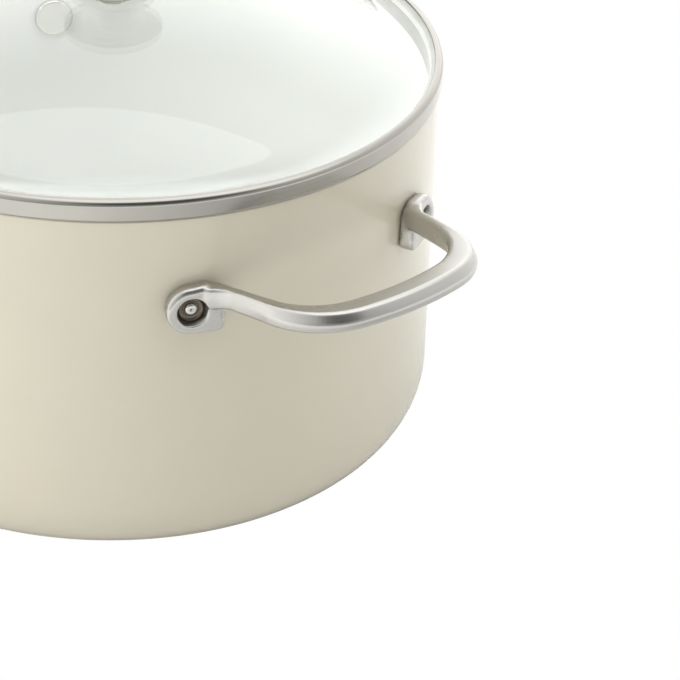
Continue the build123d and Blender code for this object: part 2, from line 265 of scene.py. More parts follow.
enamelLook = {
    "cream": {"dark": (0.470, 0.438, 0.345, 1), "light": (0.486, 0.453, 0.357, 1), "roughness": 0.30,
              "coat": 0.8},
    "ceramic": {"dark": (0.80, 0.80, 0.785, 1), "light": (0.82, 0.82, 0.805, 1), "roughness": 0.28,
                "coat": 0.4},
    "mottleScale": 14.0, "roughnessSpread": 0.05, "ripple": 0.03, "rippleScale": 260.0,
    "rippleDepth": 0.5 * mm, "coatRoughness": 0.12, "coatIor": 1.5,
}


def enamel(name, look):
    material, tree, shader = newMaterial(name)
    place = addNode(tree, "ShaderNodeTexCoord").outputs["Object"]
    tone = placeGroup(tree, softMottle, {"Vector": place, "Scale": enamelLook["mottleScale"],
                                         "Dark": look["dark"], "Light": look["light"]})
    grain = placeGroup(tree, fineGrain, {"Vector": place, "Stretch": (1, 1, 1),
                                         "Scale": enamelLook["rippleScale"], "Low": look["roughness"],
                                         "High": look["roughness"] + enamelLook["roughnessSpread"]})
    bump = addNode(tree, "ShaderNodeBump", {"Height": grain.outputs["Height"],
                                            "Strength": enamelLook["ripple"],
                                            "Distance": enamelLook["rippleDepth"]})
    tree.links.new(tone.outputs["Color"], shader.inputs["Base Color"])
    tree.links.new(grain.outputs["Roughness"], shader.inputs["Roughness"])
    tree.links.new(bump.outputs[0], shader.inputs["Normal"])
    setSockets(shader, {"Coat Weight": look["coat"], "Coat Roughness": enamelLook["coatRoughness"],
                        "Coat IOR": enamelLook["coatIor"]})
    return material


steelLook = {
    # the handle's recess colour is painted shade for the depths of the rivet recesses
    "handle": {"dark": (0.550, 0.540, 0.512, 1), "light": (0.575, 0.565, 0.537, 1), "low": 0.265,
               "high": 0.275, "scale": 600.0, "stretch": (0.04, 1, 1), "grain": "alongBar",
               "recess": (0.16, 0.135, 0.11, 1)},
    "rim": {"dark": (0.430, 0.418, 0.382, 1), "light": (0.450, 0.436, 0.400, 1), "low": 0.14,
            "high": 0.20, "scale": 1400.0, "stretch": (0.002, 1, 1), "grain": "round", "bump": 0.05},
    "turned": {"dark": (0.580, 0.570, 0.540, 1), "light": (0.640, 0.630, 0.600, 1), "low": 0.20,
               "high": 0.30, "scale": 1500.0, "stretch": (0.002, 1, 1), "grain": "round", "bump": 0.08},
    # dark steel that paints shade on the rim lip's edge and on the rivets' collars and pits
    "recess": {"dark": (0.150, 0.130, 0.105, 1), "light": (0.180, 0.155, 0.130, 1), "low": 0.30,
               "high": 0.40, "scale": 1500.0, "stretch": (1, 1, 1), "grain": "even", "bump": 0.02},
    "rivet": {"dark": (0.660, 0.655, 0.620, 1), "light": (0.700, 0.690, 0.660, 1), "low": 0.18,
              "high": 0.24, "scale": 1500.0, "stretch": (1, 1, 1), "grain": "even", "bump": 0.02},
    "mottleScale": 60.0, "grainDepth": 0.1 * mm,
}


def steel(name, look):
    material, tree, shader = newMaterial(name)
    place = addNode(tree, "ShaderNodeTexCoord").outputs["Object"]
    along = place
    if look["grain"] == "round":
        along = polarCoordinates(tree)
    if look["grain"] == "alongBar":
        along = addNode(tree, "ShaderNodeAttribute", attribute_name="barPlace").outputs["Vector"]
    tone = placeGroup(tree, softMottle, {"Vector": place, "Scale": steelLook["mottleScale"],
                                         "Dark": look["dark"], "Light": look["light"]}).outputs["Color"]
    # painted shade: the colour turns to the recess colour deep in the rivet recesses
    if "recess" in look:
        shade = addNode(tree, "ShaderNodeAttribute", attribute_name="recessShade").outputs["Fac"]
        tone = mixColours(tree, shade, tone, look["recess"])
    grain = placeGroup(tree, fineGrain, {"Vector": along, "Stretch": look["stretch"],
                                         "Scale": look["scale"], "Low": look["low"],
                                         "High": look["high"]})
    tree.links.new(tone, shader.inputs["Base Color"])
    tree.links.new(grain.outputs["Roughness"], shader.inputs["Roughness"])
    if "bump" in look:
        bump = addNode(tree, "ShaderNodeBump", {"Height": grain.outputs["Height"], "Strength": look["bump"],
                                                "Distance": steelLook["grainDepth"]})
        tree.links.new(bump.outputs[0], shader.inputs["Normal"])
    setSockets(shader, {"Metallic": 1.0})
    return material


glassLook = {"tint": (0.965, 0.985, 0.97, 1), "shadowTint": (0.98, 0.99, 0.98, 1), "ior": 1.5}


def clearGlass():
    material, tree, shader = newMaterial("lidGlass")
    setSockets(shader, {"Base Color": glassLook["tint"], "Roughness": 0.0, "IOR": glassLook["ior"],
                        "Transmission Weight": 1.0})
    through = addNode(tree, "ShaderNodeBsdfTransparent", {"Color": glassLook["shadowTint"]})
    path = addNode(tree, "ShaderNodeLightPath")
    soft = addNode(tree, "ShaderNodeMath",
                   {0: path.outputs["Is Shadow Ray"], 1: path.outputs["Is Diffuse Ray"]},
                   operation="MAXIMUM")
    mix = addNode(tree, "ShaderNodeMixShader",
                  {0: soft.outputs[0], 1: shader.outputs[0], 2: through.outputs[0]})
    tree.links.new(mix.outputs[0], tree.nodes["Material Output"].inputs["Surface"])
    return material


siliconeLook = {"dark": (0.60, 0.59, 0.56, 1), "light": (0.66, 0.65, 0.62, 1), "mottleScale": 90.0,
                "roughness": 0.5, "depth": 0.15, "depthReach": (2.0 * mm, 2.0 * mm, 2.0 * mm)}


def silicone():
    material, tree, shader = newMaterial("sealSilicone")
    place = addNode(tree, "ShaderNodeTexCoord").outputs["Object"]
    tone = placeGroup(tree, softMottle, {"Vector": place, "Scale": siliconeLook["mottleScale"],
                                         "Dark": siliconeLook["dark"], "Light": siliconeLook["light"]})
    tree.links.new(tone.outputs["Color"], shader.inputs["Base Color"])
    setSockets(shader, {"Roughness": siliconeLook["roughness"], "Subsurface Weight": siliconeLook["depth"],
                        "Subsurface Radius": siliconeLook["depthReach"]})
    return material


creamEnamel = enamel("creamEnamel", enamelLook["cream"])
innerCeramic = enamel("innerCeramic", enamelLook["ceramic"])
handleSteel = steel("handleSteel", steelLook["handle"])
rimSteel = steel("rimSteel", steelLook["rim"])
turnedSteel = steel("turnedSteel", steelLook["turned"])
rivetSteel = steel("rivetSteel", steelLook["rivet"])
recessSteel = steel("recessSteel", steelLook["recess"])
lidGlass = clearGlass()
sealSilicone = silicone()
print("materials made")


potShape = {
    "wall": 3.0 * mm, "floor": 6.0 * mm, "baseCorner": 23.5 * mm, "mouthEdge": 0.8 * mm,
    "segments": 256, "cornerSteps": 14, "plateGap": 0.05 * mm,
    "postRadius": 4.95 * mm, "postCircle": 62.0 * mm, "posts": 12, "postSegments": 48,
}


def buildPot():
    inner = potRadius - potShape["wall"]
    corner = potShape["baseCorner"]
    edge = potShape["mouthEdge"]
    floor = potShape["floor"]
    steps = potShape["cornerSteps"]
    pocket = plateHigh.x + potShape["plateGap"]
    outline = roundOutline([
        (0, plateHigh.z, 0), (pocket, plateHigh.z, 0), (pocket, 0, 0), (potRadius, 0, corner),
        (potRadius, potHeight, edge), (inner, potHeight, edge),
        (inner, floor, corner - potShape["wall"]), (0, floor, 0)], steps, False)
    # after the pocket's three points and two rounded corners, halfway round the mouth's inner edge
    inside = range(3 + 2 * (steps + 1) + steps // 2, len(outline))
    pot = lathe("potShell", outline, [creamEnamel, innerCeramic], "pot", potShape["segments"],
                second=inside)
    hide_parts("pot_body")


def buildPosts():
    # the cast base fills the round windows of the induction plate
    height = plateHigh.z
    bm = bmesh.new()
    for i in range(potShape["posts"]):
        turn = 2 * math.pi * i / potShape["posts"]
        spot = potShape["postCircle"] * Vector((math.cos(turn), math.sin(turn), 0))
        spot += Vector((0, 0, height / 2))
        bmesh.ops.create_cone(bm, cap_ends=True, segments=potShape["postSegments"],
                              radius1=potShape["postRadius"], radius2=potShape["postRadius"],
                              depth=height, matrix=Matrix.Translation(spot))
    posts = newObject("basePosts", bm, [creamEnamel], "pot")


buildPot()
buildPosts()
print("pot made")


lidShape = {
    "strip": 0.6 * mm, "lip": 3.1 * mm, "lipRound": 0.29 * mm, "bend": 2.3 * mm, "seatBend": 1.0 * mm,
    "skirtDepth": 7.0 * mm, "skirtGap": 0.6 * mm, "skirtRound": 0.25 * mm, "skirtTurn": 0.6 * mm,
    "skirtTurnInside": 0.2 * mm, "bendSteps": 8,
    "glass": 4.0 * mm, "bore": 4.0 * mm, "shoulder": 111.2 * mm, "domeRise": 27.0 * mm,
    "domeSteps": 40, "shoulderBlend": 6.0 * mm, "blendSteps": 12, "blendShift": 0.9 * mm,
    "glassEdge": 0.8 * mm, "edgeSteps": 5, "segments": 256,
}


def buildRim():
    # one steel strip: lip over the glass, band, seat on the pot's edge, skirt inside the pot
    strip = lidShape["strip"]
    bend = lidShape["bend"]
    seatBend = lidShape["seatBend"]
    lipRound = lidShape["lipRound"]
    skirtRound = lidShape["skirtRound"]
    steps = lidShape["bendSteps"]
    seat = rimLow.z + lidShape["skirtDepth"]
    skirt = potRadius - potShape["wall"] - lidShape["skirtGap"]
    lip = rimRadius - lidShape["lip"]
    outline = roundOutline([
        (lip, rimTop, lipRound), (rimRadius, rimTop, bend), (rimRadius, seat, seatBend),
        (skirt, seat, lidShape["skirtTurnInside"]), (skirt, rimLow.z, skirtRound),
        (skirt - strip, rimLow.z, skirtRound), (skirt - strip, seat + strip, lidShape["skirtTurn"]),
        (rimRadius - strip, seat + strip, seatBend - strip),
        (rimRadius - strip, rimTop - strip, bend - strip), (lip, rimTop - strip, lipRound)], steps)
    # the lip's cut edge, between the middles of its two roundings, is darker: a painted shadow line where the
    # lip meets the glass
    half = steps // 2
    cutEdge = set(range(half + 1)) | set(range(len(outline) - half - 2, len(outline)))
    rim = lathe("lidRim", outline, [rimSteel, recessSteel], "lid", lidShape["segments"], second=cutEdge)
    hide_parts("lid_rim")


def buildGlass():
    # a cap of a sphere that blends into a flat shoulder under the rim's lip
    top = rimTop - lidShape["strip"]
    thick = lidShape["glass"]
    width = lidShape["shoulder"]
    rise = lidShape["domeRise"]
    bore = lidShape["bore"]
    steps = lidShape["domeSteps"]
    blend = lidShape["shoulderBlend"]
    edge = lidShape["glassEdge"]
    ball = (width ** 2 + rise ** 2) / (2 * rise)
    upper = []
    lower = []
    for i in range(steps + 1):
        radius = bore + (width - blend - bore) * i / steps
        height = top + rise - ball + math.sqrt(ball ** 2 - radius ** 2)
        normal = Vector((radius, height - (top + rise - ball))).normalized()
        upper.append(Vector((radius, height)))
        lower.append(Vector((radius, height)) - normal * thick)
    slope = (upper[-1] - upper[-2]).normalized()
    for i in range(1, lidShape["blendSteps"] + 1):
        share = i / lidShape["blendSteps"]
        start = upper[steps]
        end = Vector((width + blend, top))
        middle = start + slope * ((end.y - start.y) / slope.y)
        point = start * (1 - share) ** 2 + middle * 2 * share * (1 - share) + end * share ** 2
        upper.append(point)
        lower.append(point - Vector((0, thick)) - Vector((lidShape["blendShift"], 0)) * (1 - share))
    rounded = roundOutline([
        upper[-1][:] + (0,), (glassRadius, top, edge), (glassRadius, top - thick, edge),
        lower[-1][:] + (0,)], lidShape["edgeSteps"], False)
    outline = upper + rounded[1:-1] + lower[::-1]
    glass = lathe("lidDome", outline, [lidGlass], "lid", lidShape["segments"])
    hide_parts("lid_glass")


buildRim()
buildGlass()
print("lid made")


# the handle is built in millimetres and scaled at the end
handleShape = {
    "thickness": 5.5, "span": 107.0, "drop": 34.5, "inboard": 11.6, "endRadius": 8.9,
    "endShift": (0.2, 0.3), "peak": (-6.5, 10.2), "shoulder": 5.5, "corner": 3.0, "endSteps": 32,
    "frontTop": 2.4, "frontLow": 0.7, "frontFrom": -2, "frontFade": 8, "frontSteps": 8,
    "backEdge": 0.9, "wallGap": 0.05,
    "reach": 43.4, "legSpacing": 90.0, "legLift": 4.8, "rootDepth": 1.2, "rise": 0.121, "toe": 7.7,
    "bend": 26.0, "bow": 11.0, "flare": 4.0, "flareStart": 2.0, "flareLength": 8.0,
    "turnFrom": 0.18, "turnLength": 0.5, "stations": 60, "grainStations": 40,
}
cupShape = {
    "radius": 5.4, "depth": 3.6, "floorInset": 0.9, "floorRound": 1.0, "sideHeight": 3.0,
    "sideRound": 1.2, "mouth": 12.0, "steps": 6, "segments": 64,
    "shadeSpread": 0.6, "shadeEdge": 0.5, "shadeFrom": 0.6, "shadeFade": 2.8,
}
castShape = {
    "voxel": 0.36, "evenFactor": 0.5, "evenRounds": 12, "filletFactor": 0.6, "filletRounds": 40,
    "filletShift": (4.5, 0.5), "filletReach": 8.5, "filletFade": 4, "filletHeight": 9, "sharpAngle": 60,
}
# corners (outward, up, rounding) of the bar where it leaves the flange and along its front run
legSection = [(-2.2, -4.3, 1.8), (-2.3, 4.1, 2.0), (2.0, 4.3, 0.9), (2.5, 0.0, 1.5), (2.2, -4.3, 1.8)]
runSection = [(-5.6, -3.2, 2.0), (-6.9, 1.9, 1.8), (3.0, 3.6, 1.7), (6.2, -0.4, 3.8), (5.0, -3.6, 1.6)]


def flangeTilt():
    # angle of a rivet's axis from the handle's middle
    middle = potRadius / mm + handleShape["thickness"] / 2
    return math.asin(handleShape["span"] / 2 / middle)


def barStations(count):
    # half of the bar's centre line: places (x, y), directions and lengths run, in mm
    shape = handleShape
    bow = math.radians(shape["bow"])
    turn = math.radians(90 - shape["toe"])
    tilt = flangeTilt()
    rootY = shape["legSpacing"] / 2
    rootX = (potRadius / mm + shape["rootDepth"] - rootY * math.sin(tilt)) / math.cos(tilt)
    cornerY = shape["bend"] * (math.sin(turn) - math.sin(bow))
    cornerX = shape["bend"] * (math.cos(bow) - math.cos(turn))
    middleX = potRadius / mm + shape["reach"]
    toe = math.tan(math.radians(shape["toe"]))
    runRadius = rootY - cornerY - (middleX - cornerX - rootX) * toe
    runRadius /= math.sin(bow) - (1 - math.cos(bow)) * toe
    heading = math.radians(shape["toe"])
    start = Vector((rootX, -rootY))
    cornerStart = Vector((middleX - runRadius * (1 - math.cos(bow)) - cornerX,
                          -runRadius * math.sin(bow) - cornerY))
    legLength = (cornerStart - start).length
    lengths = [legLength, shape["bend"] * (turn - bow), runRadius * bow]
    total = sum(lengths)
    stations = []
    for i in range(count + 1):
        run = total * i / count
        if run <= lengths[0]:
            angle = heading
            place = start + (cornerStart - start) * run / legLength
        elif run <= lengths[0] + lengths[1]:
            part = (run - lengths[0]) / shape["bend"]
            angle = heading + part
            centre = cornerStart + shape["bend"] * Vector((-math.sin(heading), math.cos(heading)))
            place = centre + shape["bend"] * Vector((math.sin(angle), -math.cos(angle)))
        else:
            angle = math.pi / 2 - (total - run) / runRadius
            place = Vector((middleX - runRadius + runRadius * math.sin(angle), -runRadius * math.cos(angle)))
        stations.append((place, Vector((math.cos(angle), math.sin(angle))), run / total, run))
    return stations


def smoothStep(amount):
    amount = min(max(amount, 0), 1)
    return amount * amount * (3 - 2 * amount)


def rootHeight():
    # height of the bar's centre line where it leaves the flange
    return potHeight / mm - handleShape["drop"] + handleShape["legLift"]


def joinRings(bm, rings):
    # skin over rings of equal count, closed at both ends
    for low, high in zip(rings, rings[1:]):
        for i in range(len(low)):
            j = (i + 1) % len(low)
            bm.faces.new((low[i], low[j], high[j], high[i]))
    bm.faces.new(rings[0])
    bm.faces.new(rings[-1][::-1])


def addBar(bm):
    stations = barStations(handleShape["stations"])
    root = stations[0][0]
    rings = []
    mirrored = [(Vector((p.x, -p.y)), Vector((-d.x, d.y)), share, run)
                for p, d, share, run in stations[-2::-1]]
    for place, direction, share, run in stations + mirrored:
        grow = smoothStep((share - handleShape["turnFrom"]) / handleShape["turnLength"])
        along = min(max((run - handleShape["flareStart"]) / handleShape["flareLength"], 0), 1)
        flare = handleShape["flare"] * (1 - along) ** 2
        corners = []
        for leg, front in zip(legSection, runSection):
            across, up, radius = [(1 - grow) * a + grow * b for a, b in zip(leg, front)]
            corners.append((across + flare if across > 0 else across, up, radius))
        height = rootHeight() + handleShape["rise"] * (place.x - root.x)
        outward = Vector((direction.y, -direction.x))
        ring = []
        for point in roundOutline(corners):
            spot = place + outward * point.x
            ring.append(bm.verts.new((spot.x, spot.y, height + point.y)))
        rings.append(ring)
    joinRings(bm, rings)


def flangeOutline(side):
    # the flange seen from outside the pot, x outboard and y up
    shape = handleShape
    endX, endY = shape["endShift"]
    low = endY - shape["endRadius"]
    corners = [(endX, low, 0), (-shape["inboard"], low, shape["corner"]),
               (-shape["inboard"], shape["shoulder"], shape["corner"]),
               (shape["peak"][0], shape["peak"][1], shape["corner"]), (endX, endY + shape["endRadius"], 0)]
    points = roundOutline(corners, closed=False)
    for i in range(1, shape["endSteps"]):
        turn = math.pi / 2 - math.pi * i / shape["endSteps"]
        points.append(Vector((endX + shape["endRadius"] * math.cos(turn),
                              endY + shape["endRadius"] * math.sin(turn))))
    return [Vector((side * p.x, p.y)) for p in points]


def addFlange(bm, side):
    shape = handleShape
    tilt = side * flangeTilt()
    outward = Vector((math.cos(tilt), math.sin(tilt), 0))
    across = Vector((-outward.y, outward.x, 0))
    axis = Vector((0, 0, potHeight / mm - shape["drop"]))
    outline = flangeOutline(side)
    count = len(outline)
    front = potRadius / mm + shape["thickness"]
    normals = []
    for i, point in enumerate(outline):
        along = outline[(i + 1) % count] - outline[i - 1]
        normal = Vector((along.y, -along.x)).normalized()
        if normal.dot(point) < 0:
            normal = -normal
        normals.append(normal)
    rings = []
    for inset, depth in [(shape["backEdge"], 0), (0, shape["backEdge"])]:
        ring = []
        for point, normal in zip(outline, normals):
            flat = point - normal * inset
            wall = math.sqrt((potRadius / mm) ** 2 - flat.x ** 2) + shape["wallGap"]
            ring.append((flat, wall + depth))
        rings.append(ring)
    for i in range(shape["frontSteps"] + 1):
        turn = math.pi / 2 * i / shape["frontSteps"]
        ring = []
        for point, normal in zip(outline, normals):
            top = smoothStep((point.y - shape["frontFrom"]) / shape["frontFade"])
            radius = shape["frontLow"] + (shape["frontTop"] - shape["frontLow"]) * top
            flat = point - normal * radius * (1 - math.cos(turn))
            ring.append((flat, front - radius * (1 - math.sin(turn))))
        rings.append(ring)
    verts = [[bm.verts.new(axis + outward * depth + across * flat.x + Vector((0, 0, flat.y)))
              for flat, depth in ring] for ring in rings]
    joinRings(bm, verts)


def addCup(bm, side):
    # a round-bottomed cup with its mouth in front of the flange, which cuts the rivet's recess
    shape = cupShape
    seat = potRadius / mm + handleShape["thickness"] - shape["depth"]
    outline = roundOutline([
        (0, 0, 0), (shape["radius"] - shape["floorInset"], 0, shape["floorRound"]),
        (shape["radius"], shape["sideHeight"], shape["sideRound"]), (shape["radius"], shape["mouth"], 0),
        (0, shape["mouth"], 0)], shape["steps"], False)
    place = Matrix.Translation((0, 0, potHeight / mm - handleShape["drop"]))
    place = place @ Matrix.Rotation(side * flangeTilt(), 4, "Z") @ Matrix.Rotation(math.pi / 2, 4, "Y")
    turnOutline(bm, outline, shape["segments"], place @ Matrix.Translation((0, 0, seat)))


def applyModifiers(obj):
    depsgraph = bpy.context.evaluated_depsgraph_get()
    mesh = bpy.data.meshes.new_from_object(obj.evaluated_get(depsgraph))
    old = obj.data
    obj.modifiers.clear()
    obj.data = mesh
    bpy.data.meshes.remove(old)


def meshObject(name, fill):
    bm = bmesh.new()
    fill(bm)
    bmesh.ops.recalc_face_normals(bm, faces=bm.faces)
    return linkMesh(name, bm)


def carve(whole, other, operation):
    # joins or cuts with the other piece, which is used up
    step = whole.modifiers.new("carve", "BOOLEAN")
    step.operation = operation
    step.solver = "EXACT"
    step.object = other
    applyModifiers(whole)
    bpy.data.objects.remove(other)


def addSmooth(obj, name, factor, rounds):
    smooth = obj.modifiers.new(name, "SMOOTH")
    smooth.factor = factor
    smooth.iterations = rounds
    return smooth


def castHandleMesh():
    # bar and flanges fused as a casting, with soft fillets where they meet
    whole = meshObject("handleRight", addBar)
    for side in (-1, 1):
        carve(whole, meshObject("flange", lambda bm: addFlange(bm, side)), "UNION")
        carve(whole, meshObject("cup", lambda bm: addCup(bm, side)), "DIFFERENCE")
    exact = BVHTree.FromPolygons([v.co.copy() for v in whole.data.vertices],
                                 [list(p.vertices) for p in whole.data.polygons])
    remesh = whole.modifiers.new("cast", "REMESH")
    remesh.mode = "VOXEL"
    remesh.voxel_size = castShape["voxel"]
    applyModifiers(whole)
    group = whole.vertex_groups.new(name="roots")
    root = barStations(handleShape["stations"])[0][0]
    shiftX, shiftY = castShape["filletShift"]
    middle = Vector((root.x + shiftX, -root.y - shiftY))
    height = rootHeight()
    for vertex in whole.data.vertices:
        spot = vertex.co
        distance = (Vector((spot.x, abs(spot.y))) - middle).length
        weight = smoothStep((castShape["filletReach"] - distance) / castShape["filletFade"])
        if weight > 0 and abs(spot.z - height) < castShape["filletHeight"]:
            group.add([vertex.index], weight, "REPLACE")
        vertex.co = exact.find_nearest(spot)[0]  # off the voxel steps, back on the true surface
    addSmooth(whole, "even", castShape["evenFactor"], castShape["evenRounds"])
    fillet = addSmooth(whole, "fillet", castShape["filletFactor"], castShape["filletRounds"])
    fillet.vertex_group = "roots"
    applyModifiers(whole)
    return whole


def storeBarPlace(obj):
    # each point's place along and round the bar, so that the grain follows it
    stations = barStations(handleShape["grainStations"])
    attribute = obj.data.attributes.new("barPlace", "FLOAT_VECTOR", "POINT")
    for vertex in obj.data.vertices:
        spot = Vector((vertex.co.x, -abs(vertex.co.y)))
        nearest = min(stations, key=lambda s: (s[0] - spot).length_squared)
        away = spot - nearest[0]
        run = nearest[3] + away.dot(nearest[1])
        side = 1 if vertex.co.y > 0 else -1
        across = away.x * nearest[1].y - away.y * nearest[1].x
        along = side * (stations[-1][3] - run)
        attribute.data[vertex.index].vector = (along * mm, across * mm, vertex.co.z * mm)


def storeRecessShade(obj):
    # painted shade: 1 deep inside the two rivet recesses, where the steel colour is darkened, and 0 on the
    # polished outside
    shape = cupShape
    attribute = obj.data.attributes.new("recessShade", "FLOAT", "POINT")
    front = potRadius / mm + handleShape["thickness"]
    axisHeight = potHeight / mm - handleShape["drop"]
    reach = shape["radius"] + shape["shadeSpread"]
    for vertex in obj.data.vertices:
        spot = vertex.co
        tilt = math.copysign(flangeTilt(), spot.y)
        depth = front - (spot.x * math.cos(tilt) + spot.y * math.sin(tilt))
        across = spot.y * math.cos(tilt) - spot.x * math.sin(tilt)
        inside = smoothStep((reach - math.hypot(across, spot.z - axisHeight)) / shape["shadeEdge"])
        deep = smoothStep((depth - shape["shadeFrom"]) / shape["shadeFade"])
        attribute.data[vertex.index].value = inside * deep


def buildHandles():
    right = castHandleMesh()
    storeBarPlace(right)
    storeRecessShade(right)
    right.data.transform(Matrix.Scale(mm, 4))
    right.data.materials.clear()
    right.data.materials.append(handleSteel)
    shadeSmooth(right, castShape["sharpAngle"])
    left = bpy.data.objects.new("handleLeft", right.data.copy())
    left.data.transform(Matrix.Rotation(math.pi, 4, "Z"))
    bpy.context.scene.collection.objects.link(left)
    for piece, node in ((right, "handle_right"), (left, "handle_left")):
        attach(piece, "pot")
        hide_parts(node)


buildHandles()
print("handles made")


# rivet sizes in millimetres, along the rivet's own axis
rivetShape = {
    "head": 8.0, "headHeight": 2.2, "headEdge": 1.2, "shank": 3.0, "collar": 3.0, "collarHeight": 0.25,
    "collarEdge": 0.3, "edgeSteps": 5, "tip": 2.35, "tipHeight": 1.5, "domeSteps": 8,
    "domeAcross": 0.6, "domeUp": 0.8, "pit": 0.6, "pitDepth": 0.5, "pitFloor": 0.3, "pitFloorShare": 0.8,
    "segments": 64,
}


def buildRivets():
    # head inside the pot, shank through wall and flange, domed and pitted tip in the recess
    shape = rivetShape
    low = potRadius / mm - potShape["wall"] / mm - shape["headHeight"]
    seat = potRadius / mm + handleShape["thickness"] - cupShape["depth"]
    base = seat + shape["collarHeight"]
    top = seat + shape["tipHeight"]
    shank = roundOutline([
        (0, low, 0), (shape["head"], low, shape["headEdge"]), (shape["head"], low + shape["headHeight"], 0),
        (shape["shank"], low + shape["headHeight"], 0), (shape["shank"], seat, 0), (shape["collar"], seat, 0),
        (shape["collar"], base, shape["collarEdge"]), (shape["tip"], base, 0)], shape["edgeSteps"], False)
    dome = []
    for i in range(1, shape["domeSteps"] + 1):
        turn = math.pi / 2 * i / shape["domeSteps"]
        across = (shape["tip"] - shape["pit"]) * math.cos(turn) ** shape["domeAcross"]
        up = (shape["tipHeight"] - shape["collarHeight"]) * math.sin(turn) ** shape["domeUp"]
        dome.append(Vector((shape["pit"] + across, base + up)))
    pit = [Vector((shape["pitFloor"], top - shape["pitDepth"] * shape["pitFloorShare"])),
           Vector((0, top - shape["pitDepth"]))]
    outline = [point * mm for point in shank + dome + pit]
    # collar and pit get painted shade, the dome between them is bright steel
    collar = range(len(shank) - shape["edgeSteps"] - 3, len(shank))
    shadedSteps = set(collar) | set(range(len(outline) - len(pit), len(outline)))
    for name, node, side, turn in (("rivetRightFront", "rivet_right_front", -1, 0),
                                   ("rivetRightBack", "rivet_right_back", 1, 0),
                                   ("rivetLeftFront", "rivet_left_front", 1, math.pi),
                                   ("rivetLeftBack", "rivet_left_back", -1, math.pi)):
        place = Matrix.Translation((0, 0, potHeight - handleShape["drop"] * mm))
        place = place @ Matrix.Rotation(turn + side * flangeTilt(), 4, "Z")
        place = place @ Matrix.Rotation(math.pi / 2, 4, "Y")
        rivet = lathe(name, outline, [rivetSteel, recessSteel], "pot", shape["segments"], place, shadedSteps)
        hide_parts(node)


buildRivets()
print("rivets made")

# pieces that keep their own mesh
nodeFinish = {
    "induction_plate": turnedSteel, "rim_seal": sealSilicone, "vent_eyelet": rimSteel,
    "vent_seal": sealSilicone, "vent_ring": rimSteel, "lid_knob": turnedSteel,
    "knob_base_ring": turnedSteel, "knob_upper_gasket": sealSilicone,
    "knob_lower_gasket": sealSilicone, "knob_washer": rimSteel, "knob_screw": rimSteel,
}
for node, finish in nodeFinish.items():
    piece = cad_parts[node]
    piece.data.materials.clear()
    piece.data.materials.append(finish)
print("finishes placed")


floorLook = {
    "paper": (0.93, 0.93, 0.92, 1), "roughness": 0.9, "white": (1.0, 1.0, 1.0, 1), "closeRay": 4.0 * mm,
    # painted shade: the floor as the steel mirrors it, darker near darkSpot
    "mirroredNear": (0.36, 0.36, 0.35, 1), "mirroredFar": (0.76, 0.76, 0.75, 1),
    "darkSpot": (0.35, 0.048, 0), "spotReach": (0.05, 0.38), "size": 6.0, "drop": 0.5 * mm,
}
# each light of the surroundings: its strength, and the span of closeness to its direction where it sets in
worldLook = {
    "back": 1.3, "front": 0.45, "frontSpan": (-0.9, 0.9), "glow": 0.5, "glowSpan": (-0.6, -0.92),
    "left": 0.5, "leftLift": 0.3, "leftSpan": (0.3, 0.95),
    "high": 0.9, "highLean": 0.2, "highLift": 0.98, "highSpan": (0.75, 0.95),
    "shade": 0.2, "shadeTurn": 20, "shadeLift": 41, "shadeSpan": (0.84, 0.96),
}
lamps = [
    {"name": "overhead", "place": (0.1, -0.1, 1.6), "aim": (0, 0, 0.1), "size": (1.6, 1.6), "power": 12},
    {"name": "leftKey", "place": (-0.35, -1.45, 0.6), "aim": (0, 0, 0.06), "size": (0.9, 1.1), "power": 12},
    {"name": "rightFill", "place": (1.2, 0.75, 0.8), "aim": (0, 0, 0.08), "size": (0.8, 0.9), "power": 3.5},
]
cameraPlace = {
    "azimuth": 52.85, "elevation": 29.333, "distance": 1.107, "aimHeight": 67.65 * mm,
    "yaw": -5.307, "pitch": 31.294, "roll": -2.362, "lens": 149.93, "sensor": 36.0,
    "nearest": 0.05, "farthest": 50.0,
}


def floorPaper():
    # plain white to the camera and close to the base, grey in reflections with painted shade near a dark
    # spot, clear from below
    material, tree, shader = newMaterial("floorPaper")
    setSockets(shader, {"Roughness": floorLook["roughness"]})
    path = addNode(tree, "ShaderNodeLightPath")
    # painted shade in reflections: the mirrored floor darkens near darkSpot
    spot = addNode(tree, "ShaderNodeTexCoord").outputs["Object"]
    away = addNode(tree, "ShaderNodeVectorMath", {0: spot, 1: floorLook["darkSpot"]}, operation="DISTANCE")
    near, far = floorLook["spotReach"]
    share = addNode(tree, "ShaderNodeMapRange",
                    {"Value": away.outputs["Value"], "From Min": near, "From Max": far})
    mirrored = mixColours(tree, share.outputs["Result"], floorLook["mirroredNear"],
                          floorLook["mirroredFar"])
    tone = mixColours(tree, path.outputs["Is Glossy Ray"], floorLook["paper"], mirrored)
    tree.links.new(tone, shader.inputs["Base Color"])
    white = addNode(tree, "ShaderNodeEmission", {"Color": floorLook["white"], "Strength": 1.0})
    close = addNode(tree, "ShaderNodeMath", {0: path.outputs["Ray Length"], 1: floorLook["closeRay"]},
                    operation="LESS_THAN")
    plain = addNode(tree, "ShaderNodeMath", {0: path.outputs["Is Camera Ray"], 1: close.outputs[0]},
                    operation="MAXIMUM")
    above = addNode(tree, "ShaderNodeMixShader",
                    {0: plain.outputs[0], 1: shader.outputs[0], 2: white.outputs[0]})
    through = addNode(tree, "ShaderNodeBsdfTransparent")
    back = addNode(tree, "ShaderNodeNewGeometry").outputs["Backfacing"]
    sided = addNode(tree, "ShaderNodeMixShader", {0: back, 1: above.outputs[0], 2: through.outputs[0]})
    tree.links.new(sided.outputs[0], tree.nodes["Material Output"].inputs["Surface"])
    return material


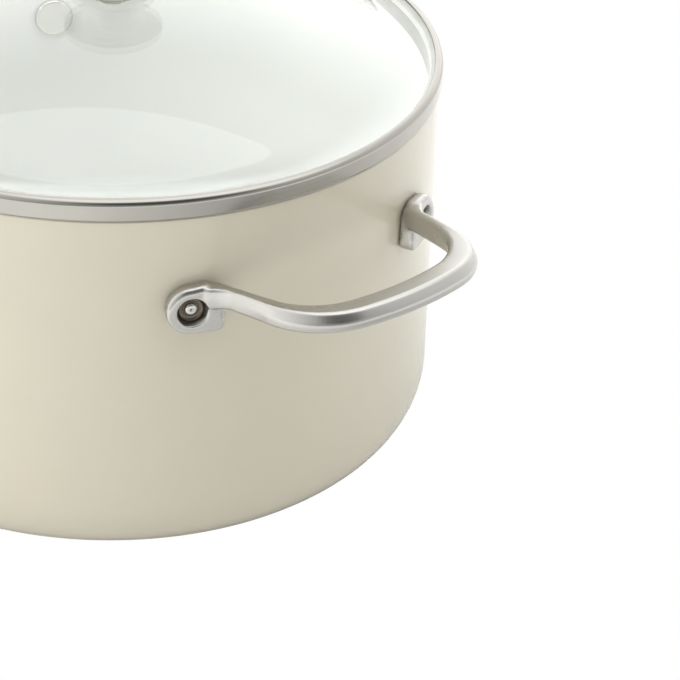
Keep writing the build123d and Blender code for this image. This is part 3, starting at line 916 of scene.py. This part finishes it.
def glowTowards(tree, direction, aim, span, low, high):
    # a strength that goes from low to high as the direction turns towards the aim
    facing = addNode(tree, "ShaderNodeVectorMath", {0: direction, 1: aim}, operation="DOT_PRODUCT")
    ramp = addNode(tree, "ShaderNodeMapRange",
                   {"Value": facing.outputs["Value"], "From Min": span[0], "From Max": span[1],
                    "To Min": low, "To Max": high})
    return ramp.outputs["Result"]


def directionTo(turn, lift):
    return Vector((math.sin(turn) * math.cos(lift), -math.cos(turn) * math.cos(lift), math.sin(lift)))


def studioWorld():
    # bright behind the pot, on its left and high up, with a dark patch above the camera's right
    look = worldLook
    world = bpy.data.worlds.new("studio")
    world.use_nodes = True
    tree = world.node_tree
    turn = math.radians(cameraPlace["azimuth"])
    direction = addNode(tree, "ShaderNodeTexCoord").outputs["Generated"]
    front = (math.sin(turn), -math.cos(turn), 0)
    left = (-math.cos(turn), -math.sin(turn), look["leftLift"])
    high = (look["highLean"] * math.cos(turn), look["highLean"] * math.sin(turn), look["highLift"])
    patch = directionTo(turn + math.radians(look["shadeTurn"]), math.radians(look["shadeLift"]))
    total = glowTowards(tree, direction, front, look["frontSpan"], look["back"], look["front"])
    for aim, span, strength in ((front, look["glowSpan"], look["glow"]),
                                (left, look["leftSpan"], look["left"]),
                                (high, look["highSpan"], look["high"])):
        glow = glowTowards(tree, direction, aim, span, 0.0, strength)
        total = addNode(tree, "ShaderNodeMath", {0: total, 1: glow}, operation="ADD").outputs[0]
    shade = glowTowards(tree, direction, patch, look["shadeSpan"], 1.0, look["shade"])
    total = addNode(tree, "ShaderNodeMath", {0: total, 1: shade}, operation="MULTIPLY").outputs[0]
    back = tree.nodes["Background"]
    back.inputs["Color"].default_value = floorLook["white"]
    tree.links.new(total, back.inputs["Strength"])
    return world


def buildStage():
    bm = bmesh.new()
    bmesh.ops.create_grid(bm, x_segments=4, y_segments=4, size=floorLook["size"])
    floor = linkMesh("floor", bm)
    floor.data.materials.append(floorPaper())
    floor.location.z = -floorLook["drop"]
    bpy.context.scene.world = studioWorld()
    for lamp in lamps:
        light = bpy.data.lights.new(lamp["name"], "AREA")
        light.shape = "RECTANGLE"
        light.size, light.size_y = lamp["size"]
        light.energy = lamp["power"]
        item = bpy.data.objects.new(lamp["name"], light)
        item.location = lamp["place"]
        item.rotation_mode = "QUATERNION"
        item.rotation_quaternion = (Vector(lamp["aim"]) - Vector(lamp["place"])).to_track_quat("-Z", "Y")
        item.visible_glossy = False  # the steel mirrors the surroundings alone
        bpy.context.scene.collection.objects.link(item)


def buildCamera():
    turn = math.radians(cameraPlace["azimuth"])
    back = directionTo(turn, math.radians(cameraPlace["elevation"]))
    camera = bpy.data.objects.new("camera", bpy.data.cameras.new("camera"))
    camera.data.lens = cameraPlace["lens"]
    camera.data.sensor_width = cameraPlace["sensor"]
    camera.data.clip_start = cameraPlace["nearest"]
    camera.data.clip_end = cameraPlace["farthest"]
    facing = Matrix.Rotation(turn + math.radians(cameraPlace["yaw"]), 4, "Z")
    facing = facing @ Matrix.Rotation(-math.radians(cameraPlace["pitch"]), 4, "X")
    facing = facing @ Matrix.Rotation(math.radians(cameraPlace["roll"]), 4, "Y")
    facing = facing @ Matrix.Rotation(math.pi / 2, 4, "X")
    place = Vector((0, 0, cameraPlace["aimHeight"])) + back * cameraPlace["distance"]
    camera.matrix_world = Matrix.Translation(place) @ facing
    bpy.context.scene.collection.objects.link(camera)
    bpy.context.scene.camera = camera


buildStage()
buildCamera()
bpy.context.scene.view_settings.view_transform = "Standard"
print("stage and camera placed")
